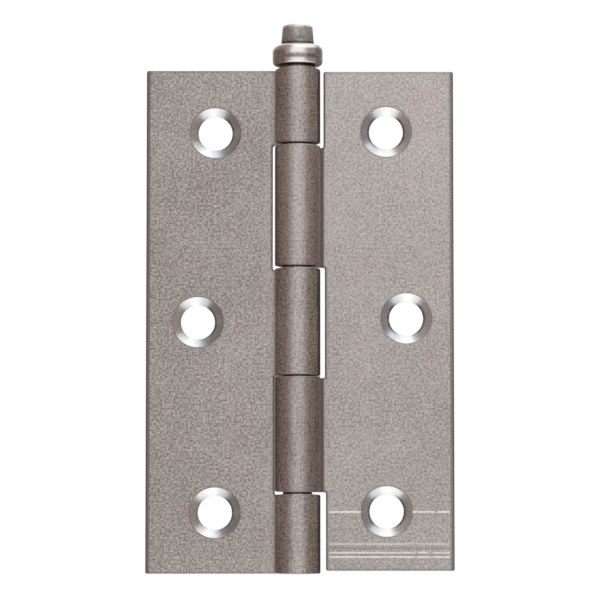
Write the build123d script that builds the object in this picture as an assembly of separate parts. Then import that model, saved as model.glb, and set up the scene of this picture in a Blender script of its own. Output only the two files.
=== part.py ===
from build123d import *
import os
from math import asin, atan, degrees

# Butt hinge with a loose pin, lying open and flat. Two leaves of steel sheet are rolled at their
# inner edges into five knuckles, three on the fixed leaf and two on the swing leaf, and a headed
# pin drops through them all. The origin is on the pin's axis at the foot of the barrel, +Z runs up
# the pin, the countersunk faces look towards -Y and both backs lie in one plane. Sizes are in
# millimetres.

# Sheet, pin and rolled eye
sheet_thickness = 1.25
pin_diameter = 4.6
eye_clearance = 0.05
curl_slit = 0.12

# Knuckles from the top down, each measured between the middles of the gaps beside it
top_knuckle = 12.2
upper_knuckle = 19.5
middle_knuckle = 17.2
lower_knuckle = 18.45
bottom_knuckle = 12.65
knuckle_gap = 0.4

# Leaves: reach from the pin's axis, and how far the swing leaf's ends stop short
fixed_leaf_reach = 24.05
swing_leaf_reach = 24.8
swing_top_inset = 0.15
swing_bottom_inset = 0.45
corner_radius = 0.3
edge_break = 0.12

# Room between the barrel's side and each notch, as seen from the front
fixed_upper_notch_gap = 0.35
fixed_lower_notch_gap = 0.12
swing_top_notch_gap = 0.53
swing_middle_notch_gap = 0.74
swing_bottom_notch_gap = 0.9

# Countersunk screw holes, placed from the leaf's outer edge and from its ends. The fixed leaf's holes
# sit a little low, and the swing leaf's middle one a little high, as they do on the real hinge.
hole_diameter = 5.4
countersink_diameter = 8.1
hole_land = 0.2
end_hole_inset = 9.8
fixed_end_hole_edge_distance = 10.95
fixed_middle_hole_edge_distance = 8.2
fixed_hole_drop = 0.2
swing_end_hole_edge_distance = 10.7
swing_middle_hole_edge_distance = 7.55
swing_middle_hole_lift = 0.4

# Turned head of the pin: a seat collar wider than the shank, a rounded bead that stands out past
# the barrel, and a tapered button
collar_width = 0.55
collar_height = 0.5
bead_overhang = 0.37
bead_height = 3.2
bead_lower_round = 1.1
bead_upper_round = 1.1
button_base_diameter = 5.2
button_taper = 0.22
button_height = 3.15
button_cove = 0.25
button_round = 0.42

# Lower end of the pin, tapered to find its way through the knuckles
pin_tip_recess = 0.6
pin_tip_taper = 0.6
pin_tip_length = 1.0

# Sizes that follow from the ones above
eye_radius = pin_diameter / 2 + eye_clearance
barrel_radius = eye_radius + sheet_thickness
leaf_height = top_knuckle + upper_knuckle + middle_knuckle + lower_knuckle + bottom_knuckle
first_gap = leaf_height - top_knuckle
second_gap = first_gap - upper_knuckle
third_gap = second_gap - middle_knuckle
fourth_gap = third_gap - lower_knuckle
curl_end_angle = degrees(asin((eye_radius - curl_slit) / barrel_radius))
curl_sweep = 270 + curl_end_angle
countersink_angle = 2 * degrees(
    atan((countersink_diameter - hole_diameter) / 2 / (sheet_thickness - hole_land))
)
pin_radius = pin_diameter / 2
collar_radius = pin_radius + collar_width
bead_radius = barrel_radius + bead_overhang
button_base_radius = button_base_diameter / 2
button_top_radius = button_base_radius - button_taper


def leaf_section(side, reach):
    # One strip of sheet seen from above: flat, then rolled round until it nearly meets itself
    outside = CenterArc((0, 0), barrel_radius, 90, side * curl_sweep)
    inside = CenterArc((0, 0), eye_radius, 90, side * curl_sweep)
    back = Line((side * reach, barrel_radius), outside @ 0)
    front = Line((side * reach, eye_radius), inside @ 0)
    outer_edge = Line(back @ 0, front @ 0)
    rolled_end = Line(outside @ 1, inside @ 1)
    return make_face(back + outside + rolled_end + inside + front + outer_edge)


def notch(side, low, high, gap):
    # Clears one knuckle of the other leaf, with half a gap of its own at each end
    near = side * (barrel_radius + gap)
    far = -side * 2 * barrel_radius
    width = abs(near - far)
    height = high - low + knuckle_gap
    return Pos((near + far) / 2, 0, (low + high) / 2) * Box(width, 4 * barrel_radius, height)


def screw_hole(x, z):
    # Countersunk from the front face, with a straight land left at the back
    face = Plane(origin=(x, eye_radius, z), x_dir=(1, 0, 0), z_dir=(0, -1, 0))
    return face * CounterSinkHole(
        hole_diameter / 2,
        countersink_diameter / 2,
        depth=2 * sheet_thickness,
        counter_sink_angle=countersink_angle,
    )


def sheared_edges(blank):
    # The cut outline of the sheet on its back and front; the line where the roll starts is no edge
    outline = ShapeList()
    for level in (barrel_radius, eye_radius):
        flat = blank.faces().filter_by(Axis.Y).filter_by_position(Axis.Y, level, level)
        outline += [edge for edge in flat.edges() if abs(edge.center().X) > edge_break]
    return outline


def leaf(side, reach, bottom, top, notches, holes):
    blank = Pos(0, 0, bottom) * extrude(leaf_section(side, reach), top - bottom)
    for low, high, gap in notches:
        blank -= notch(side, low, high, gap)
    blank = fillet(blank.edges().filter_by(Axis.Y), corner_radius)
    blank = chamfer(sheared_edges(blank), edge_break)
    for edge_distance, level in holes:
        blank -= screw_hole(side * (reach - edge_distance), level)
    return blank


def fixed_leaf():
    notches = [
        (second_gap, first_gap, fixed_upper_notch_gap),
        (fourth_gap, third_gap, fixed_lower_notch_gap),
    ]
    holes = [
        (fixed_end_hole_edge_distance, leaf_height - end_hole_inset - fixed_hole_drop),
        (fixed_middle_hole_edge_distance, leaf_height / 2 - fixed_hole_drop),
        (fixed_end_hole_edge_distance, end_hole_inset - fixed_hole_drop),
    ]
    return leaf(-1, fixed_leaf_reach, 0, leaf_height, notches, holes)


def swing_leaf():
    notches = [
        (first_gap, leaf_height, swing_top_notch_gap),
        (third_gap, second_gap, swing_middle_notch_gap),
        (0, fourth_gap, swing_bottom_notch_gap),
    ]
    top = leaf_height - swing_top_inset
    holes = [
        (swing_end_hole_edge_distance, leaf_height - end_hole_inset),
        (swing_middle_hole_edge_distance, leaf_height / 2 + swing_middle_hole_lift),
        (swing_end_hole_edge_distance, end_hole_inset),
    ]
    return leaf(1, swing_leaf_reach, swing_bottom_inset, top, notches, holes)


def hinge_pin():
    # Half of the turned outline, from the tip up, turned about the pin's axis
    bead_foot = leaf_height + collar_height
    bead_top = bead_foot + bead_height
    button_top = bead_top + button_height
    outline = Polyline(
        (0, pin_tip_recess),
        (pin_radius - pin_tip_taper, pin_tip_recess),
        (pin_radius, pin_tip_recess + pin_tip_length),
        (pin_radius, leaf_height),
        (collar_radius, leaf_height),
        (collar_radius, bead_foot),
        (bead_radius, bead_foot),
        (bead_radius, bead_top),
        (button_base_radius, bead_top),
        (button_top_radius, button_top),
        (0, button_top),
        close=True,
    )
    pin = revolve(make_face(Plane.XZ * outline), Axis.Z)
    under_bead = bead_radius - collar_radius
    on_bead = bead_radius - button_base_radius - button_cove
    rounds = (
        (bead_radius, bead_foot, min(bead_lower_round, 0.98 * under_bead, 0.48 * bead_height)),
        (bead_radius, bead_top, min(bead_upper_round, 0.98 * on_bead, 0.48 * bead_height)),
        (button_base_radius, bead_top, button_cove),
        (button_top_radius, button_top, min(button_round, 0.9 * button_top_radius)),
    )
    for radius, level, size in rounds:
        circles = pin.edges().filter_by(GeomType.CIRCLE).filter_by_position(Axis.Z, level, level)
        pin = fillet(circles.sort_by(lambda circle: abs(circle.radius - radius))[0], size)
    return pin


os.makedirs("parts", exist_ok=True)
for name, solid in (
    ("fixed_leaf", fixed_leaf()),
    ("swing_leaf", swing_leaf()),
    ("hinge_pin", hinge_pin()),
):
    solid.label = name
    export_step(solid, f"parts/{name}.step")
    print(name, "volume", round(solid.volume, 2), "solids", len(solid.solids()))
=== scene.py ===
import math

import bmesh
import bpy
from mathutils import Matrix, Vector


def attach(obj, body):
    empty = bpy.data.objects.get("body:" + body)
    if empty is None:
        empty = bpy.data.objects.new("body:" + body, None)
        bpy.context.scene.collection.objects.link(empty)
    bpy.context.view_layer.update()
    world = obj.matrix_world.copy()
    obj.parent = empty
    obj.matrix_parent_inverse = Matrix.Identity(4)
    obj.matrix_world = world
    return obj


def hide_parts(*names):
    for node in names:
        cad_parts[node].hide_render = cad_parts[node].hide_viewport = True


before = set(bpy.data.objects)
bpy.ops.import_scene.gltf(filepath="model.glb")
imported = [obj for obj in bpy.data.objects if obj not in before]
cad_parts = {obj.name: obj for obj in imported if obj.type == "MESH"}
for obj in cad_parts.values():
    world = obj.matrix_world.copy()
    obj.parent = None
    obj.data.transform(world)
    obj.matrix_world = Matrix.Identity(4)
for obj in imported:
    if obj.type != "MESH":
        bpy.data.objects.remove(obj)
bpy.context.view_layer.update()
scene = bpy.context.scene
scene.view_settings.view_transform = "Standard"
mm = 0.001
mergeDistance = 1e-7
print("frame loaded:", ", ".join(sorted(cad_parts)))


# One output of a node, with arithmetic that adds Math nodes to its own tree
class Wire:
    colourInputs = (6, 7)  # where a Mix node keeps its two colours and their blend
    colourOutput = 2

    def __init__(self, socket):
        self.socket = socket
        self.tree = socket.id_data

    def also(self, name):  # another output of the same node
        return Wire(self.socket.node.outputs[name])

    def maths(self, operation, *values):
        inputs = dict(enumerate(values))
        return addNode(self.tree, "ShaderNodeMath", {"operation": operation}, inputs)

    def apply(self, operation):  # an operation on this value alone
        return self.maths(operation, self)

    def __add__(self, other):
        return self.maths("ADD", self, other)

    def __radd__(self, other):
        return self.maths("ADD", other, self)

    def __sub__(self, other):
        return self.maths("SUBTRACT", self, other)

    def __rsub__(self, other):
        return self.maths("SUBTRACT", other, self)

    def __mul__(self, other):
        return self.maths("MULTIPLY", self, other)

    def __rmul__(self, other):
        return self.maths("MULTIPLY", other, self)

    def __truediv__(self, other):
        return self.maths("DIVIDE", self, other)

    def __rtruediv__(self, other):
        return self.maths("DIVIDE", other, self)

    def __mod__(self, other):
        return self.maths("MODULO", self, other)

    def __rmod__(self, other):
        return self.maths("MODULO", other, self)

    def __abs__(self):
        return self.apply("ABSOLUTE")

    def atLeast(self, other):
        return self.maths("MAXIMUM", self, other)

    # Goes from 0 to 1 as this value goes from low to high, both counted from a base
    def rise(self, low, high, base=0.0):
        return addNode(
            self.tree,
            "ShaderNodeMapRange",
            {"interpolation_type": "SMOOTHSTEP", "clamp": True},
            {"Value": self, "From Min": base + low, "From Max": base + high},
        )

    def fall(self, low, high, base=0.0):
        return 1 - self.rise(low, high, base)

    # The first colour where this value is 0, and the second where it is 1
    def blend(self, *colours):
        inputs = {"Factor": self}
        for key, colour in zip(self.colourInputs, colours):
            inputs[key] = colour if isinstance(colour, Wire) else (*colour, 1)
        settings = {"data_type": "RGBA", "clamp_factor": True}
        return addNode(self.tree, "ShaderNodeMix", settings, inputs, self.colourOutput)


# Makes any node: its settings first, then the values or links of its sockets
def addNode(tree, kind, settings=None, inputs=None, output=0):
    node = tree.nodes.new(kind)
    for name, value in (settings or {}).items():
        setattr(node, name, value)
    for key, value in (inputs or {}).items():
        if isinstance(value, Wire):
            tree.links.new(value.socket, node.inputs[key])
        else:
            node.inputs[key].default_value = value
    return Wire(node.outputs[output]) if node.outputs else None


def axes(vector):
    x = addNode(vector.tree, "ShaderNodeSeparateXYZ", {}, {"Vector": vector}, output="X")
    return x, x.also("Y"), x.also("Z")


def addObject(name, data):
    thing = bpy.data.objects.new(name, data)
    scene.collection.objects.link(thing)
    return thing


# Puts a camera or a lamp at a place, looking at an aim, and gives the distance between the two
def pointAt(thing, place, aim):
    view = Vector(aim) - Vector(place)
    thing.location = place
    thing.rotation_euler = view.to_track_quat("-Z", "Y").to_euler()
    return view.length


# Camera

cameraSettings = {
    "eye": (0.38 * mm, -497.6 * mm, 6 * mm),
    "aim": (0.38 * mm, 2.35 * mm, 43.31 * mm),
    "pictureWidth": 95.27 * mm,  # what the picture spans at the leaves
    "sensorWidth": 36,
    "clipStart": 10 * mm,
}


def makeCamera(s):
    data = bpy.data.cameras.new("photoCamera")
    camera = addObject("photoCamera", data)
    distance = pointAt(camera, s["eye"], s["aim"])
    data.sensor_width = s["sensorWidth"]
    data.lens = s["sensorWidth"] * distance / s["pictureWidth"]
    data.clip_start = s["clipStart"]
    scene.camera = camera


makeCamera(cameraSettings)
print("camera placed")


# What the pieces share: noise, steel, and running a Geometry Nodes tree

noiseRoughness = 0.6


def startMaterial(name):
    material = bpy.data.materials.new(name)
    material.use_nodes = True
    material.node_tree.nodes.clear()
    return material, material.node_tree


def finishMaterial(tree, shader):
    addNode(tree, "ShaderNodeOutputMaterial", {}, {"Surface": shader})


def finishSteel(tree, colour, roughness, height, depth, metallic=1.0):
    bump = addNode(
        tree, "ShaderNodeBump", {}, {"Strength": 1.0, "Distance": depth, "Height": height}
    )
    shader = addNode(
        tree,
        "ShaderNodeBsdfPrincipled",
        {},
        {"Base Color": colour, "Roughness": roughness, "Metallic": metallic, "Normal": bump},
    )
    finishMaterial(tree, shader)


def objectPlace(tree):
    return addNode(tree, "ShaderNodeTexCoord", output="Object")


def attribute(tree, name, output="Fac"):
    return addNode(tree, "ShaderNodeAttribute", {"attribute_name": name}, output=output)


# Noise about zero, with features of the given size in metres
def noise(place, size, detail):
    value = addNode(
        place.tree,
        "ShaderNodeTexNoise",
        {"noise_dimensions": "3D"},
        {"Vector": place, "Scale": 1 / size, "Detail": detail, "Roughness": noiseRoughness},
        output="Fac",
    )
    return value - 0.5


# The same noise drawn out: a different size along each axis
def drawnNoise(place, sizes, detail):
    stretched = addNode(
        place.tree,
        "ShaderNodeVectorMath",
        {"operation": "MULTIPLY"},
        {0: place, 1: tuple(1 / size for size in sizes)},
    )
    return noise(stretched, 1.0, detail)


# Runs a Geometry Nodes tree on a mesh and keeps the result as a plain, closed mesh facing outwards
def runTree(name, mesh, tree, keys, values, sharpAngle):
    source = addObject(name + "Source", mesh)
    modifier = source.modifiers.new("shape", "NODES")
    modifier.node_group = tree
    for label, value in values.items():
        modifier[keys[label]] = value
    depsgraph = bpy.context.evaluated_depsgraph_get()
    result = bpy.data.meshes.new_from_object(
        source.evaluated_get(depsgraph), preserve_all_data_layers=True, depsgraph=depsgraph
    )
    source.modifiers.remove(modifier)
    bpy.data.objects.remove(source)
    shape = bmesh.new()
    shape.from_mesh(result)
    bmesh.ops.remove_doubles(shape, verts=shape.verts, dist=mergeDistance)
    bmesh.ops.recalc_face_normals(shape, faces=shape.faces)
    for face in shape.faces:
        face.smooth = True
    shape.to_mesh(result)
    shape.free()
    result.set_sharp_from_angle(angle=sharpAngle)
    result.name = name
    return addObject(name, result)


# Starts a Geometry Nodes tree with named inputs, and gives the identifier of each
def startTree(name, sockets):
    tree = bpy.data.node_groups.new(name, "GeometryNodeTree")
    addSocket = tree.interface.new_socket
    addSocket(name="Geometry", in_out="OUTPUT", socket_type="NodeSocketGeometry")
    keys = {}
    for label, kind in sockets.items():
        socket = addSocket(name=label, in_out="INPUT", socket_type="NodeSocket" + kind)
        keys[label] = socket.identifier
    return tree, keys, addNode(tree, "NodeGroupInput")


def endTree(tree, geometry):
    addNode(tree, "NodeGroupOutput", {}, {"Geometry": geometry})


# Leaves: flat blanks of sheet steel, rolled into knuckles at their inner edges. A place in a blank
# is (run from the pin's axis, depth from the back, height), and runs below zero wrap round the pin.

sheet = {
    "barrelRadius": 3.6 * mm,
    "thickness": 1.25 * mm,
    "curlSlit": 0.12 * mm,
    "curlStep": math.radians(4),
    "knuckles": [12.2 * mm, 19.5 * mm, 17.2 * mm, 18.45 * mm, 12.65 * mm],  # from the top down
    "knuckleGap": 0.4 * mm,
    # Curling pushes the knuckles' ends out at the front: barrel top, four seams, foot
    "frontSwells": [0.05 * mm, 0.07 * mm, 0.07 * mm, 0.07 * mm, 0.07 * mm, 0.0],
    # It draws them in at the sides, or out where this is below zero, in the same order
    "sideDrops": [0.26 * mm, 0.06 * mm, 0.06 * mm, -0.14 * mm, 0.06 * mm, 0.06 * mm],
    "swellEnd": 5.2,  # turn about the pin at which that has died away, in radians
    "swellFade": 0.5,
    "cornerRadius": 0.3 * mm,
    "leastCorner": 0.015 * mm,
    "cornerSteps": 5,
    "edgeInset": 0.22 * mm,  # how far the sheared edge rolls over, in the sheet and through it
    "edgeDepth": 0.17 * mm,
    "edgeSteps": 4,
    "edgeWear": (0.8, 0.2),  # where the edge starts to roll over, and what the cut itself adds
    "supportInset": 0.285 * mm,
    "supportWear": 0.7,
    "wearEnd": 0.45 * mm,  # the dark line along the edges ends here
    "sharpAngle": math.radians(35),
    # Colours
    "dark": (0.235, 0.203, 0.185),
    "lightWarm": (0.667, 0.6, 0.587),
    "lightCool": (0.643, 0.61, 0.573),
    "edgeColour": (0.25, 0.225, 0.21),
    "outerShadeColour": (0.165, 0.15, 0.14),  # painted shade: the dark line inside the outer edge
    # painted shade: a dark band on each knuckle's free side
    "sideShadeColour": (0.06, 0.05, 0.045),
    "creaseShadeColour": (0.155, 0.113, 0.098),  # painted shade where a leaf's front runs in under its own knuckles
    # Noise: size and detail, then how often it repeats through the sheet and where it starts
    "grain": (0.34 * mm, 2.5, 4, 0.91),
    "mottle": (2.4 * mm, 5, 1, 0.98),
    "tint": (5 * mm, 3),
    "cloud": (16 * mm, 2),
    "streak": ((0.22 * mm, 0.22 * mm, 7 * mm), 2),
    # Where the finish changes: runs, depths and a height
    "rubbedRuns": (3.6 * mm, 6.0 * mm),  # the curling tool smooths the sheet inside these
    "curledRuns": (2.0 * mm, 3.4 * mm),
    "outsideDepths": (0.2 * mm, 0.5 * mm),  # the back, and the outside of the curl
    "frontRun": -9.35 * mm,  # the front of the barrel, where the curl is rubbed smoothest
    "sideRuns": (1.2 * mm, 2.4 * mm),  # from there, where the sides of the barrel begin
    "fallStart": 38 * mm,  # the height above which the tone rises, a painted light
    "leanMiddle": 14 * mm,  # the run at which a lean towards the pin changes nothing
    "leanEnd": 4 * mm,  # and the run inside which it grows no more
    "outerShadeBand": (0.8 * mm, 0.4 * mm),  # from the outer edge, where its line starts and is full
    "sideShadeRun": -5.15 * mm,  # about a quarter of the way round, on the knuckle's free side
    "sideShadeReach": (0.75 * mm, 1.25 * mm),
    "sideShadeRagged": 0.5 * mm,
    "creaseShadeRuns": (4.05 * mm, 4.3 * mm),
    # How much of each goes into the tone, the edges, the roughness and the bump
    "tone": {"middle": 0.5, "mottle": 0.45, "cloud": 0.35, "streak": 0.8, "lightBesideBarrel": 0.1},
    "speckle": {"rubbed": 0.1, "sides": 0.6},
    "tintContrast": 2.4,
    "wear": {"flat": 0.55, "curled": 0.4, "shear": 0.25},
    "roughness": {"base": 0.42, "mottle": 0.12, "grain": 0.14, "rubbed": 0.06, "shear": 0.08},
    "bump": {"mottle": 0.4, "streak": 0.3},
    "bumpDepth": 0.02 * mm,
}
countersink = {
    "boreRadius": 2.7 * mm,
    "coneRadius": 4.05 * mm,
    "land": 0.2 * mm,
    "rim": 0.07 * mm,
    "support": 0.3 * mm,
    "steps": 96,
    "cutStrips": range(2, 5),  # the bore and the cone, not their rims, among holeRings
    # Colours
    "dark": (0.84, 0.825, 0.812),
    "light": (1.0, 0.985, 0.97),
    "sides": (0.82, 0.92, 1.0),  # cooler where the cone mirrors the warm cards
    # painted shade on each countersink, towards the pin and below
    "holeShade": (0.39, 0.46, 0.52),
    "lip": (0.22, 0.215, 0.215),  # painted shade: dark line where the cone meets the bore
    # Where they lie: the share of the way round to the side, and radii
    "sideSpan": (0.35, 0.8),
    "holeShadeSpan": (0.35, 0.9),
    "holeShadeLean": {"pin": 0.65, "up": 0.45, "down": -0.75},  # which way it lies
    "lipRadii": (2.92 * mm, 3.16 * mm),
    # The cutter's rings and chatter, and how much of each goes into the finish
    "ringPitch": 0.16 * mm,
    "ringWander": 5,
    "chatter": (0.6 * mm, 3),
    "tone": {"middle": 0.55, "chatter": 1.1, "rings": 0.14},
    "sideTint": {"middle": 0.9, "chatter": 0.8, "rings": 0.15},
    "lipChatter": 2,
    "roughness": {"base": 0.27, "chatter": 0.2},
    "ringBump": 0.5,
    "bumpDepth": 0.006 * mm,
}
fixedLeaf = {
    "side": -1,
    "reach": 24.05 * mm,
    "low": 0.0,
    "high": 80 * mm,
    "ownKnuckles": [0, 2, 4],
    "notchGaps": {1: 0.35 * mm, 3: 0.04 * mm},
    "holes": [(13.1 * mm, 70.0 * mm), (15.85 * mm, 39.8 * mm), (13.1 * mm, 9.6 * mm)],
    "lips": (0.8, 0.25),  # painted dark lip and cool side of a countersink, towards the pin and away
    "holeShade": 0.7,
    # painted shade: darker than the swing leaf
    "tone": -0.1,
    "fall": 0.0,  # how the tone rises towards the top, a painted light, and towards the pin
    "lean": 5.5,
    "grain": 2.75,
    "rub": 0.19,
    "creaseShade": 0.0,
    "sideShade": 0.86,
    "notch": 0.0,  # painted shade along the notches, beside the gaps
    "outer": 0.9,
    "scratches": None,
}
swingLeaf = {
    "side": 1,
    "reach": 24.8 * mm,
    "low": 0.45 * mm,
    "high": 79.85 * mm,
    "ownKnuckles": [1, 3],
    "notchGaps": {0: 0.53 * mm, 2: 0.74 * mm, 4: 0.9 * mm},
    "holes": [(14.1 * mm, 70.2 * mm), (17.25 * mm, 40.4 * mm), (14.1 * mm, 9.8 * mm)],
    "lips": (0.75, 0.75),
    "holeShade": 0.35,
    # painted light: lighter than the fixed leaf
    "tone": 0.045,
    "fall": 4.8,
    "lean": 0.0,
    "grain": 2.4,
    "rub": 0.06,
    "creaseShade": 0.9,
    "sideShade": 0.4,
    "notch": 0.35,
    "outer": 0.7,
    "scratches": {
        "from": 5.1 * mm,
        "to": 24.2 * mm,
        "endFade": 0.3 * mm,
        "halves": (0.08 * mm, 0.2 * mm),  # full within the first, gone beyond the second
        # Height, strength, how much it breaks up towards the outer edge
        "bright": [
            (9.73 * mm, 1.0, 0.14),
            (4.69 * mm, 0.55, 0.12),
            (3.32 * mm, 0.85, 0.16),
            (2.64 * mm, 0.9, 0.13),
        ],
        "furrowShades": [(4.0 * mm, 0.5, 0.1), (2.98 * mm, 0.3, 0.15)],
        "gaps": ((1.2 * mm, 1.0, 0.3 * mm), 3),  # noise that breaks the lines: sizes and detail
        "gapEdges": (-0.29, -0.14),  # where it ends a line, and where the line is whole
        "evenness": (0.9, 1.4),  # a line's strength, and how far that noise changes it
        "frontDepths": (0.9 * mm, 1.15 * mm),
        "colour": (0.88, 0.85, 0.83),  # fresh metal
        "colourShare": 0.9,
        "smoothing": 0.1,
        "bump": 0.8,
    },
}


# Noise in the sheet, set so that it cuts both faces of it alike
def sheetNoise(flat, thickness, size, detail, repeats, start):
    layered = addNode(
        flat.tree,
        "ShaderNodeVectorMath",
        {"operation": "MULTIPLY_ADD"},
        {0: flat, 1: (1, repeats * size / thickness, 1), 2: (0, start * size, 0)},
    )
    return noise(layered, size, detail)


# Level scratches, whole beside the barrel and more and more broken towards the outer edge
def scratchLines(flat, run, level, marks, lines):
    start, end, fade = marks["from"], marks["to"], marks["endFade"]
    gaps = drawnNoise(flat, *marks["gaps"])
    outwards = run.rise(start, end)
    ends = run.rise(start - fade, start) * run.fall(end - fade, end)
    strengthMiddle, strengthChange = marks["evenness"]
    uneven = gaps * strengthChange + strengthMiddle
    scratch = None
    for height, strength, broken in lines:
        kept = (gaps - outwards * broken).rise(*marks["gapEdges"])
        line = abs(level - height).fall(*marks["halves"]) * kept * uneven * strength
        scratch = line if scratch is None else scratch.atLeast(line)
    return scratch * ends


# Tumbled sheet steel: speckled grain on the flat, smoother and streaked where it was curled, dark
# sheared edges, painted shade round the pin and along the outer edge, and the scratches that are
# listed for the leaf
def sheetSteel(name, s, leaf):
    material, tree = startMaterial(name)
    place = objectPlace(tree)
    flat = attribute(tree, "sheetPlace", "Vector")
    run, depth, level = axes(flat)
    wear = attribute(tree, "edgeWear")
    shear = attribute(tree, "shear")
    grain = sheetNoise(flat, s["thickness"], *s["grain"])
    mottle = sheetNoise(flat, s["thickness"], *s["mottle"])
    tint = noise(place, *s["tint"])
    cloud = noise(place, *s["cloud"])
    streak = drawnNoise(flat, *s["streak"])

    rubbed = run.fall(*s["rubbedRuns"])
    curled = run.fall(*s["curledRuns"])
    outside = depth.fall(*s["outsideDepths"])
    sides = curled * abs(run - s["frontRun"]).rise(*s["sideRuns"])
    notched = rubbed * (1 - curled)

    share = s["speckle"]
    speckle = grain * (1 - rubbed * share["rubbed"] + sides * share["sides"])
    share = s["tone"]
    # Painted light: the tone rises towards the top of the leaf
    fall = (level - s["fallStart"]).atLeast(0) * leaf["fall"]
    lean = (s["leanMiddle"] - run.atLeast(s["leanEnd"])) * leaf["lean"]
    tone = share["middle"] + leaf["tone"] + fall + lean + speckle * leaf["grain"]
    tone = tone + mottle * share["mottle"] + cloud * share["cloud"]
    # Painted light: the front of the sheet within the rubbed runs, beside the barrel, is made
    # lighter
    rub = streak * share["streak"] + leaf["rub"] + (1 - outside) * share["lightBesideBarrel"]
    tone = tone + rubbed * rub
    pale = (0.5 + tint * s["tintContrast"]).blend(s["lightWarm"], s["lightCool"])
    colour = tone.blend(s["dark"], pale)

    share = s["wear"]
    # Along the notches this adds painted shade beside the gaps
    worn = wear * (share["flat"] - curled * share["curled"] + notched * leaf["notch"])
    colour = (worn + shear * share["shear"]).blend(colour, s["edgeColour"])
    # Painted shade: a dark line just inside the outer edge
    bandStart, bandFull = (leaf["reach"] - inset for inset in s["outerShadeBand"])
    outer = run.rise(bandStart, bandFull) * leaf["outer"]
    colour = outer.blend(colour, s["outerShadeColour"])
    # Painted shade in the crease where a leaf's front runs in under its own knuckles
    creaseShade = run.fall(*s["creaseShadeRuns"]) * (1 - outside) * leaf["creaseShade"]
    colour = creaseShade.blend(colour, s["creaseShadeColour"])
    # Painted shade: a dark band on the knuckle's free side, about a quarter of the way round
    ragged = abs(run - s["sideShadeRun"]) + mottle * s["sideShadeRagged"]
    sideShade = ragged.fall(*s["sideShadeReach"]) * outside * leaf["sideShade"]
    colour = sideShade.blend(colour, s["sideShadeColour"])

    share = s["roughness"]
    roughness = share["base"] + mottle * share["mottle"] + grain * share["grain"]
    roughness = roughness + rubbed * share["rubbed"] + shear * share["shear"]
    share = s["bump"]
    height = speckle + mottle * share["mottle"] + rubbed * streak * share["streak"]
    marks = leaf["scratches"]
    if marks:
        front = depth.rise(*marks["frontDepths"])
        # Painted shade: dark lines in the furrows beside the bright scratches
        furrowShade = scratchLines(flat, run, level, marks, marks["furrowShades"]) * front
        scratch = scratchLines(flat, run, level, marks, marks["bright"]) * front
        colour = furrowShade.blend(colour, s["edgeColour"])
        colour = (scratch * marks["colourShare"]).blend(colour, marks["colour"])
        roughness = roughness - scratch * marks["smoothing"]
        height = height - scratch * marks["bump"]
    finishSteel(tree, colour, roughness, height, s["bumpDepth"])
    return material


# Freshly cut steel in the countersinks, with the cutter's rings and chatter, and painted shade on
# one side and along the lip
def cutSteel(name, h):
    material, tree = startMaterial(name)
    chatter = noise(objectPlace(tree), *h["chatter"])
    radius = attribute(tree, "cutRadius")
    sides = attribute(tree, "cutSides")
    holeShade = attribute(tree, "cutTarnish") * (1 + chatter)
    rings = (radius * (math.tau / h["ringPitch"]) + chatter * h["ringWander"]).apply("SINE")

    share = h["tone"]
    tone = share["middle"] + chatter * share["chatter"] + rings * share["rings"]
    colour = tone.blend(h["dark"], h["light"])
    share = h["sideTint"]
    tint = sides * (share["middle"] + chatter * share["chatter"] + rings * share["rings"])
    colour = tint.blend(colour, h["sides"])
    # Painted shade over the pin side of the countersink
    colour = holeShade.blend(colour, h["holeShade"])
    # Painted shade: a dark line at the foot of the cone, on its sides
    lip = radius.fall(*h["lipRadii"]) * sides * (1 + chatter * h["lipChatter"])
    colour = lip.blend(colour, h["lip"])

    share = h["roughness"]
    roughness = share["base"] + chatter * share["chatter"]
    finishSteel(tree, colour, roughness, rings * h["ringBump"] + chatter, h["bumpDepth"])
    return material


# Rolls a blank into its eyes and gives it its two finishes
def rollTree():
    tree, keys, entry = startTree(
        "rollSheetIntoEyes",
        {
            "Geometry": "Geometry",
            "Side": "Float",
            "Barrel Radius": "Float",
            "Sheet Thickness": "Float",
            "Sheet Finish": "Material",
            "Cut Finish": "Material",
        },
    )
    barrel = entry.also("Barrel Radius")
    here = addNode(tree, "GeometryNodeInputPosition")
    run, depth, level = axes(here)
    wrapped = (0 - run).atLeast(0.0)
    turn = wrapped / (barrel - entry.also("Sheet Thickness") * 0.5)
    radius = barrel - depth
    x = entry.also("Side") * (run.atLeast(0.0) - radius * turn.apply("SINE"))
    y = radius * turn.apply("COSINE")
    rolled = addNode(tree, "ShaderNodeCombineXYZ", {}, {"X": x, "Y": y, "Z": level})
    placed = addNode(
        tree,
        "GeometryNodeStoreNamedAttribute",
        {"data_type": "FLOAT_VECTOR", "domain": "POINT"},
        {"Geometry": entry.also("Geometry"), "Name": "sheetPlace", "Value": here},
    )
    moved = addNode(tree, "GeometryNodeSetPosition", {}, {"Geometry": placed, "Position": rolled})
    whole = addNode(tree, "GeometryNodeRealizeInstances", {}, {"Geometry": moved})
    coated = addNode(
        tree,
        "GeometryNodeSetMaterial",
        {},
        {"Geometry": whole, "Material": entry.also("Sheet Finish")},
    )
    cutFaces = addNode(
        tree, "GeometryNodeInputNamedAttribute", {"data_type": "BOOLEAN"}, {"Name": "cutFace"}
    )
    cut = addNode(
        tree,
        "GeometryNodeSetMaterial",
        {},
        {"Geometry": coated, "Selection": cutFaces, "Material": entry.also("Cut Finish")},
    )
    endTree(tree, cut)
    return tree, keys


def middleRadius(s):
    return s["barrelRadius"] - s["thickness"] / 2


# How much of the blank's run the curl takes up, along the middle of the sheet
def curlRun(s):
    eye = s["barrelRadius"] - s["thickness"]
    end = math.asin((eye - s["curlSlit"]) / s["barrelRadius"])
    return middleRadius(s) * (1.5 * math.pi + end)


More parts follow.
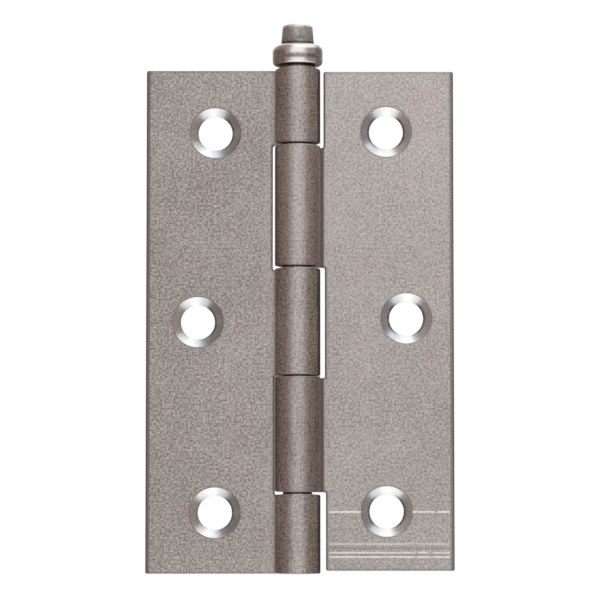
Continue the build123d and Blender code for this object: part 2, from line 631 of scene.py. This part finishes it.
# Corners of the flat blank, anticlockwise from the outer foot, as (run, height)
def blankCorners(s, leaf):
    half = s["knuckleGap"] / 2
    last = len(s["knuckles"]) - 1
    corners = [(leaf["reach"], leaf["low"]), (leaf["reach"], leaf["high"])]
    high = sum(s["knuckles"])
    for number, length in enumerate(s["knuckles"]):
        own = number in leaf["ownKnuckles"]
        end = -curlRun(s) if own else s["barrelRadius"] + leaf["notchGaps"][number]
        room = -half if own else half
        low = high - length
        top = leaf["high"] if number == 0 else high + room
        foot = leaf["low"] if number == last else low - room
        corners += [(end, top), (end, foot)]
        high = low
    return corners


# How far the end of a knuckle stands out at a place on the curl
def endSwell(s, level, run):
    seams = [sum(s["knuckles"][number:]) for number in range(len(s["knuckles"]) + 1)]
    seam = min(range(len(seams)), key=lambda number: abs(seams[number] - level))
    turn = -run / middleRadius(s)
    front = max(0.0, -math.cos(turn)) ** 2
    side = math.sin(turn) ** 2
    fade = min(1.0, max(0.0, (s["swellEnd"] - turn) / s["swellFade"]))
    return (s["frontSwells"][seam] * front - s["sideDrops"][seam] * side) * fade


# The blank's outline drawn in by an inset, with round corners and a point at each step of the curl,
# as (run, height, the step's run or None)
def outlineLoop(s, corners, inset):
    step = s["curlStep"] * middleRadius(s)
    stepCount = math.ceil((curlRun(s) - 2 * s["cornerRadius"]) / step)
    columns = [-k * step for k in range(stepCount)]
    points = []
    count = len(corners)
    for number in range(count):
        before, here, after = (Vector(corners[(number + k) % count]) for k in (-1, 0, 1))
        arrive = (here - before).normalized()
        leave = (after - here).normalized()
        inward = Vector((-arrive.y, arrive.x)) + Vector((-leave.y, leave.x))
        convex = arrive.x * leave.y - arrive.y * leave.x > 0
        radius = s["cornerRadius"] + inset
        if convex:
            radius = max(s["cornerRadius"] - inset, s["leastCorner"])
        centre = here + inward * inset + (leave - arrive) * radius
        for k in range(s["cornerSteps"] + 1):
            angle = math.pi / 2 * k / s["cornerSteps"]
            spot = centre + (arrive * math.sin(angle) - leave * math.cos(angle)) * radius
            points.append((spot.x, spot.y, None))
        level = here.y + inward.y * inset
        alongCurl = abs(leave.x) > abs(leave.y) and min(here.x, after.x) < 0
        if alongCurl:
            outwards = -1 if inward.y > 0 else 1
            for run in columns if leave.x < 0 else columns[::-1]:
                points.append((run, level + outwards * endSwell(s, here.y, run), run))
    return points


# A screw hole from the back to the front, as (radius, depth, wear)
def holeRings(thickness, h):
    bore, cone, rim, land = h["boreRadius"], h["coneRadius"], h["rim"], h["land"]
    slope = (cone - bore) / (thickness - land)
    return [
        (bore + h["support"], 0.0, 0.0),
        (bore + rim, 0.0, 0.5),
        (bore + 0.3 * rim, 0.3 * rim, 1.0),
        (bore, rim, 0.6),
        (bore, land, 0.2),
        (cone - rim, thickness - rim / slope, 0.3),
        (cone - 0.1 * rim, thickness - 0.35 * rim, 1.0),
        (cone + rim, thickness, 0.6),
        (cone + h["support"], thickness, 0.0),
    ]


def smoothStep(value, low, high):
    share = min(1.0, max(0.0, (value - low) / (high - low)))
    return share * share * (3 - 2 * share)


# How much painted shade lies on a countersink, and how strong its painted lip and its cool side
# are, at an angle round the hole from the leaf's outer side
def cutMarks(h, leaf, angle):
    towards, up = -math.cos(angle), math.sin(angle)
    lipToPin, lipAway = leaf["lips"]
    side = (lipToPin if towards > 0 else lipAway) * smoothStep(abs(towards), *h["sideSpan"])
    lean = h["holeShadeLean"]
    place = towards * lean["pin"] + max(up * lean["up"], up * lean["down"])
    return leaf["holeShade"] * smoothStep(place, *h["holeShadeSpan"]), side


def bridge(shape, lower, upper):
    faces = []
    for k in range(len(lower)):
        n = (k + 1) % len(lower)
        faces.append(shape.faces.new((lower[k], lower[n], upper[n], upper[k])))
    return faces


# Insets, depths and wear of the blank's edge, from the back to the front
def edgeLevels(s):
    startWear, cutWear = s["edgeWear"]
    levels = [(s["wearEnd"], 0.0, 0.0), (s["supportInset"], 0.0, s["supportWear"])]
    for k in range(s["edgeSteps"] + 1):
        angle = math.pi / 2 * k / s["edgeSteps"]
        inset = s["edgeInset"] * (1 - math.sin(angle))
        depth = s["edgeDepth"] * (1 - math.cos(angle))
        levels.append((inset, depth, startWear + cutWear * math.sin(angle)))
    return levels + [(inset, s["thickness"] - depth, worn) for inset, depth, worn in levels[::-1]]


def flatBlank(name, s, h, leaf):
    shape = bmesh.new()
    layers = shape.verts.layers.float
    wear, shear = layers.new("edgeWear"), layers.new("shear")
    cutRadius, cutTarnish = layers.new("cutRadius"), layers.new("cutTarnish")
    cutSides = layers.new("cutSides")
    cutFace = shape.faces.layers.bool.new("cutFace")
    corners = blankCorners(s, leaf)
    columns = [column for run, height, column in outlineLoop(s, corners, 0.0)]
    loops = []
    for inset, depth, worn in edgeLevels(s):
        loop = []
        for run, height, column in outlineLoop(s, corners, inset):
            vert = shape.verts.new((run, depth, height))
            vert[wear] = worn
            vert[shear] = 1.0 if inset == 0 else 0.0
            loop.append(vert)
        loops.append(loop)
    for lower, upper in zip(loops, loops[1:]):
        bridge(shape, lower, upper)

    holes = []
    for run, height in leaf["holes"]:
        hole = []
        for radius, depth, worn in holeRings(s["thickness"], h):
            ring = []
            for k in range(h["steps"]):
                angle = math.tau * k / h["steps"]
                across, up = radius * math.cos(angle), radius * math.sin(angle)
                vert = shape.verts.new((run + across, depth, height + up))
                vert[wear] = worn
                vert[cutRadius] = radius
                vert[cutTarnish], vert[cutSides] = cutMarks(h, leaf, angle)
                ring.append(vert)
            hole.append(ring)
        for number, (lower, upper) in enumerate(zip(hole, hole[1:])):
            for face in bridge(shape, lower, upper):
                face[cutFace] = number in h["cutStrips"]
        holes.append(hole)

    for end in (0, -1):
        closeFlat(shape, loops[end], columns, [hole[end] for hole in holes])
    mesh = bpy.data.meshes.new(name + "Blank")
    shape.to_mesh(mesh)
    shape.free()
    return mesh


# Closes one side of the blank: a ladder of strips along each tongue, and the flat with its holes
def closeFlat(shape, loop, columns, rings):
    starts = [k for k, column in enumerate(columns) if column == 0.0]
    tongues = zip(starts[0::2], starts[1::2])  # the upper edge goes out, the lower comes back
    skipped = set()
    roots = []
    for first, last in tongues:
        a, b = first, last
        while columns[a + 1] is not None and columns[a + 1] == columns[b - 1]:
            shape.faces.new((loop[a], loop[a + 1], loop[b - 1], loop[b]))
            a, b = a + 1, b - 1
        shape.faces.new(loop[a : b + 1])
        skipped.update(range(first, last))
        roots.append(shape.edges.get((loop[first], loop[last])))
    edges = []
    for closed, left in [(loop, skipped)] + [(ring, ()) for ring in rings]:
        for k in range(len(closed)):
            if k not in left:
                edges.append(shape.edges.get((closed[k], closed[(k + 1) % len(closed)])))
    bmesh.ops.triangle_fill(shape, use_beauty=True, edges=edges + roots)


def makeLeaf(name, node, body, leaf, finish):
    blank = flatBlank(name, sheet, countersink, leaf)
    values = {
        "Side": float(leaf["side"]),
        "Barrel Radius": sheet["barrelRadius"],
        "Sheet Thickness": sheet["thickness"],
        "Sheet Finish": finish,
        "Cut Finish": countersinkCut,
    }
    piece = runTree(name, blank, *rollSheet, values, sheet["sharpAngle"])
    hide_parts(node)
    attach(piece, body)
    print(name, "rolled:", len(piece.data.polygons), "faces")


rollSheet = rollTree()
countersinkCut = cutSteel("countersinkCut", countersink)
fixedSteel = sheetSteel("fixedLeafSteel", sheet, fixedLeaf)
swingSteel = sheetSteel("swingLeafSteel", sheet, swingLeaf)
print("leaf finishes made")
makeLeaf("fixedLeafSheet", "fixed_leaf", "fixed_leaf", fixedLeaf, fixedSteel)
makeLeaf("swingLeafSheet", "swing_leaf", "swing_leaf", swingLeaf, swingSteel)


# Pin, turned from a half outline

pin = {
    "radius": 2.3 * mm,
    "foot": 0.6 * mm,
    "tipTaper": 0.6 * mm,
    "tipLength": 1.0 * mm,
    "tipRound": 0.25 * mm,
    "tipArc": (-90, -30, 4),  # first and last angle in degrees, and steps
    "tipEase": 0.04 * mm,
    "seat": 80 * mm,
    "collarRadius": 2.85 * mm,
    "collarHeight": 0.44 * mm,
    "beadRadius": 3.97 * mm,
    "beadHeight": 3.26 * mm,
    "beadFootRound": 0.6 * mm,
    "beadFootArc": (-90, 0, 12),
    "beadRound": 1.09 * mm,
    "beadArc": (0, 90, 12),
    "buttonBase": 2.6 * mm,
    "buttonTop": 2.38 * mm,
    "buttonHeight": 3.15 * mm,
    "buttonCove": 0.25 * mm,
    "coveArc": (270, 184, 5),
    "buttonRound": 0.37 * mm,
    "crownArc": (4, 90, 12),
    "support": 0.12 * mm,
    "steps": 128,
    "sharpAngle": math.radians(38),
    # Colours
    "oilAndShade": (0.10, 0.088, 0.08),  # the shank under its film of oil, darkened further as painted shade in the gaps
    "scaleDark": (0.23, 0.205, 0.195),  # button and flank of the bead
    "scaleLight": (0.62, 0.58, 0.565),
    "polishDark": (0.8, 0.785, 0.765),  # shoulders of the bead
    "polishLight": (1.0, 0.99, 0.975),
    "paintedShadow": (0.07, 0.06, 0.055),  # painted shadow at the foot of the button and under the bead
    # Noise: sizes and detail
    "grain": (0.38 * mm, 3),
    "draw": ((0.16 * mm, 0.16 * mm, 9 * mm), 2),
    "ringPitch": 0.1 * mm,
    "ringDetail": 2.0,
    # Heights at which the finish changes
    "flank": 81.62 * mm,
    "flankReach": (0.114 * mm, 0.646 * mm),  # above and below the flank's height
    "lowerHalf": (82.38 * mm, 83.14 * mm),
    "buttonFoot": 83.85 * mm,
    "cornerTop": (84.0 * mm, 84.22 * mm),
    "crownRise": (86.32 * mm, 86.57 * mm),
    # The same, from the foot of the bead
    "headRise": (0.01 * mm, 0.08 * mm),
    "seatRise": (-0.5 * mm, -0.4 * mm),
    "underRise": (-0.32 * mm, -0.18 * mm),
    # and from the foot of the button
    "buttonRise": (-0.1 * mm, 0.1 * mm),
    "cornerRise": (-0.2 * mm, -0.05 * mm),
    "fadeLength": 3 * mm,  # the button grows paler upwards over this
    # Where it changes across the pin, from left to right
    "dullLeft": (-2.4 * mm, -1.4 * mm),  # the bead is unpolished beyond these
    "dullRight": (2.5 * mm, 3.1 * mm),
    "underBeadShadowSide": (-2.4 * mm, -0.8 * mm),  # the painted shadow under the bead thickens here
    "raggedUp": 0.5 * mm,  # how far the grain shifts those lines
    "raggedAcross": 0.8 * mm,
    # How much of each goes into the tone, the roughness and the bump
    "polish": {"middle": 0.5, "rings": 0.7, "grain": 0.6},
    # the flank's share is painted shade: a darker band round the middle of the bead
    "scale": {"middle": 0.62, "grain": 2.4, "rings": 0.4, "flank": 0.3},
    "button": {"foot": -0.42, "upwards": 0.6},
    "shank": {"middle": 0.15, "draw": 0.9},
    "cornerShadow": 0.85,
    "underBeadShadow": {"left": 0.3, "right": 0.7},
    "roughness": {"base": 0.32, "dull": 0.11, "button": 0.1, "grain": 0.12, "shank": 0.04},
    "buttonScale": 0.3,  # how much of the button is scale, not bare metal
    "bumpDepth": 0.004 * mm,
}


# Oiled shank with drawing lines and painted shade, polished shoulders on the bead, duller flank and
# button
def turnedSteel(name, p):
    material, tree = startMaterial(name)
    place = objectPlace(tree)
    x, y, z = axes(place)
    rings = addNode(
        tree,
        "ShaderNodeTexNoise",
        {"noise_dimensions": "1D"},
        {
            "W": (x * x + y * y).apply("SQRT") + z,  # grows along the head's outline
            "Scale": 1 / p["ringPitch"],
            "Detail": p["ringDetail"],
        },
        output="Fac",
    ) - 0.5
    grain = noise(place, *p["grain"])
    draw = drawnNoise(place, *p["draw"])

    beadFoot = p["seat"] + p["collarHeight"]
    ragged = z + grain * p["raggedUp"]
    across = x + grain * p["raggedAcross"]
    head = z.rise(*p["headRise"], beadFoot)
    flank = abs(ragged - p["flank"]).fall(*p["flankReach"])
    button = ragged.rise(*p["buttonRise"], p["buttonFoot"])
    crown = ragged.rise(*p["crownRise"])
    unpolished = across.fall(*p["dullLeft"]) * ragged.fall(*p["lowerHalf"])
    unpolished = unpolished + across.rise(*p["dullRight"])
    dull = flank.atLeast(button - crown).atLeast(unpolished)
    # Painted shadow in a dark ring at the foot of the button
    footShadow = ragged.fall(*p["cornerTop"]) * z.rise(*p["cornerRise"], p["buttonFoot"])

    share = p["polish"]
    shine = share["middle"] + rings * share["rings"] + grain * share["grain"]
    polished = shine.blend(p["polishDark"], p["polishLight"])
    share = p["scale"]
    patch = share["middle"] + grain * share["grain"] + rings * share["rings"]
    upwards = (z - p["buttonFoot"]) / p["fadeLength"]
    patch = patch + button * (upwards * p["button"]["upwards"] + p["button"]["foot"])
    # Painted shade across the bead's middle band
    patch = patch - flank * (1 - unpolished) * share["flank"]
    headColour = dull.blend(polished, patch.blend(p["scaleDark"], p["scaleLight"]))
    headColour = (footShadow * p["cornerShadow"]).blend(headColour, p["paintedShadow"])

    share = p["shank"]
    shank = (share["middle"] + draw * share["draw"]).blend(p["oilAndShade"], p["scaleLight"])
    # Painted shadow on the collar under the bead, heavier towards the right
    share = p["underBeadShadow"]
    underBeadShadow = share["left"] + x.rise(*p["underBeadShadowSide"]) * share["right"]
    underBeadShadow = underBeadShadow * ragged.rise(*p["underRise"], beadFoot)
    seat = z.rise(*p["seatRise"], beadFoot)
    shank = seat.blend(shank, underBeadShadow.blend(p["scaleDark"], p["paintedShadow"]))
    colour = head.blend(shank, headColour)

    share = p["roughness"]
    roughness = share["base"] + dull * share["dull"] + button * share["button"]
    roughness = roughness + grain * share["grain"] + (1 - head) * share["shank"]
    height = head * (rings + dull * grain) + (1 - head) * draw
    metallic = 1 - button * p["buttonScale"]
    finishSteel(tree, colour, roughness, height, p["bumpDepth"], metallic)
    return material


# The outline's points, in order, each become one ring of the turned piece
def latheTree():
    tree, keys, entry = startTree(
        "turnOutline",
        {"Geometry": "Geometry", "Outline Points": "Int", "Steps": "Int", "Finish": "Material"},
    )
    steps = entry.also("Steps")
    ringPoints = steps + 1
    grid = addNode(
        tree,
        "GeometryNodeMeshGrid",
        {},
        {"Vertices X": entry.also("Outline Points"), "Vertices Y": ringPoints},
    )
    index = addNode(tree, "GeometryNodeInputIndex")
    turn = (index % ringPoints) / steps * math.tau
    sample = addNode(
        tree,
        "GeometryNodeSampleIndex",
        {"data_type": "FLOAT_VECTOR", "domain": "POINT"},
        {
            "Geometry": entry.also("Geometry"),
            "Value": addNode(tree, "GeometryNodeInputPosition"),
            "Index": (index / ringPoints).apply("FLOOR"),
        },
    )
    radius, _, height = axes(sample)
    x, y = radius * turn.apply("COSINE"), radius * turn.apply("SINE")
    place = addNode(tree, "ShaderNodeCombineXYZ", {}, {"X": x, "Y": y, "Z": height})
    moved = addNode(tree, "GeometryNodeSetPosition", {}, {"Geometry": grid, "Position": place})
    closed = addNode(
        tree, "GeometryNodeMergeByDistance", {}, {"Geometry": moved, "Distance": mergeDistance}
    )
    whole = addNode(tree, "GeometryNodeRealizeInstances", {}, {"Geometry": closed})
    done = addNode(
        tree, "GeometryNodeSetMaterial", {}, {"Geometry": whole, "Material": entry.also("Finish")}
    )
    endTree(tree, done)
    return tree, keys


def arcPoints(x, z, radius, start, end, steps):
    angles = [math.radians(start + (end - start) * k / steps) for k in range(steps + 1)]
    return [(x + radius * math.cos(angle), z + radius * math.sin(angle)) for angle in angles]


# Half of the turned outline from the tip up, as (radius, height)
def pinOutline(p):
    radius, foot, support = p["radius"], p["foot"], p["support"]
    tip = radius - p["tipTaper"]
    tipTop = foot + p["tipLength"]
    beadFoot = p["seat"] + p["collarHeight"]
    beadTop = beadFoot + p["beadHeight"]
    top = beadTop + p["buttonHeight"]
    tipRound, footRound, beadRound = p["tipRound"], p["beadFootRound"], p["beadRound"]
    cove, crown = p["buttonCove"], p["buttonRound"]
    points = [(0, foot)]
    points += arcPoints(tip - tipRound, foot + tipRound, tipRound, *p["tipArc"])
    points += [(radius - p["tipEase"], tipTop)]
    points += [(radius, tipTop + support), (radius, tipTop + 3 * support), (radius, p["seat"])]
    points += [(p["collarRadius"], p["seat"]), (p["collarRadius"], beadFoot)]
    points += arcPoints(
        p["beadRadius"] - footRound, beadFoot + footRound, footRound, *p["beadFootArc"]
    )
    points += arcPoints(p["beadRadius"] - beadRound, beadTop - beadRound, beadRound, *p["beadArc"])
    points += arcPoints(p["buttonBase"] + cove, beadTop + cove, cove, *p["coveArc"])
    points += arcPoints(p["buttonTop"] - crown, top - crown, crown, *p["crownArc"])
    return points + [(0, top)]


def makePin(p):
    mesh = bpy.data.meshes.new("pinOutline")
    outline = pinOutline(p)
    edges = [(k, k + 1) for k in range(len(outline) - 1)]
    mesh.from_pydata([(radius, 0, height) for radius, height in outline], edges, [])
    finish = turnedSteel("pinSteel", p)
    values = {"Outline Points": len(outline), "Steps": p["steps"], "Finish": finish}
    piece = runTree("turnedPin", mesh, *latheTree(), values, p["sharpAngle"])
    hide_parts("hinge_pin")
    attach(piece, "pin")
    print("pin turned:", len(piece.data.polygons), "faces")


makePin(pin)


# Studio: white sky and a white floor well below, brown cards at the sides for the metal to reflect,
# and two soft lamps

studio = {
    "white": (1, 1, 1, 1),
    "glow": 1.0,  # of the sky, the cards and the floor as it is seen
    "floorSize": 6.0,
    "floorLevel": -0.42,
    "floorColour": (0.9, 0.9, 0.9, 1),
    "cards": [
        # Name, colour, near end and far end on the floor plan, foot, top
        ("leftCard", (0.295, 0.218, 0.187, 1), (-0.252, -0.40), (-0.30, 0.40), -0.31, 1.0),
        ("rightCard", (0.29, 0.22, 0.192, 1), (0.262, -0.372), (0.30, 0.40), -0.23, 0.27),
    ],
    "lamps": [
        # Name, place, size, watts
        ("topLamp", (0.06, -0.2, 0.5), 0.3, 0.12),
        ("footLamp", (0.02, -0.13, -0.3), 0.2, 0.035),
    ],
    "lampAim": (0, 0, 0.045),
}


def addPanel(name, corners, material):
    mesh = bpy.data.meshes.new(name)
    mesh.from_pydata(corners, [], [(0, 1, 2, 3)])
    mesh.materials.append(material)
    panel = addObject(name, mesh)
    return panel


def glowShader(tree, s, colour):
    return addNode(tree, "ShaderNodeEmission", {}, {"Color": colour, "Strength": s["glow"]})


def makeFloor(s):
    material, tree = startMaterial("paleFloor")
    rays = addNode(tree, "ShaderNodeLightPath", output="Is Camera Ray")
    seen = rays.atLeast(rays.also("Is Glossy Ray")).atLeast(rays.also("Is Transmission Ray"))
    paint = addNode(tree, "ShaderNodeBsdfDiffuse", {}, {"Color": s["floorColour"]})
    glow = glowShader(tree, s, s["white"])
    finishMaterial(tree, addNode(tree, "ShaderNodeMixShader", {}, {0: seen, 1: paint, 2: glow}))
    half, level = s["floorSize"] / 2, s["floorLevel"]
    plan = [(-half, -half), (half, -half), (half, half), (-half, half)]
    addPanel("floor", [(x, y, level) for x, y in plan], material)


def makeWorld(s):
    world = bpy.data.worlds.new("whiteStudio")
    world.use_nodes = True
    tree = world.node_tree
    tree.nodes.clear()
    sky = addNode(tree, "ShaderNodeBackground", {}, {"Color": s["white"], "Strength": s["glow"]})
    addNode(tree, "ShaderNodeOutputWorld", {}, {"Surface": sky})
    scene.world = world


def makeCards(s):
    for name, colour, near, far, foot, top in s["cards"]:
        material, tree = startMaterial(name)
        finishMaterial(tree, glowShader(tree, s, colour))
        corners = [(*near, foot), (*far, foot), (*far, top), (*near, top)]
        addPanel(name, corners, material).visible_camera = False


def makeLamps(s):
    for name, place, size, watts in s["lamps"]:
        data = bpy.data.lights.new(name, "AREA")
        data.size = size
        data.energy = watts
        pointAt(addObject(name, data), place, s["lampAim"])


makeFloor(studio)
makeWorld(studio)
makeCards(studio)
makeLamps(studio)
print("studio lit")
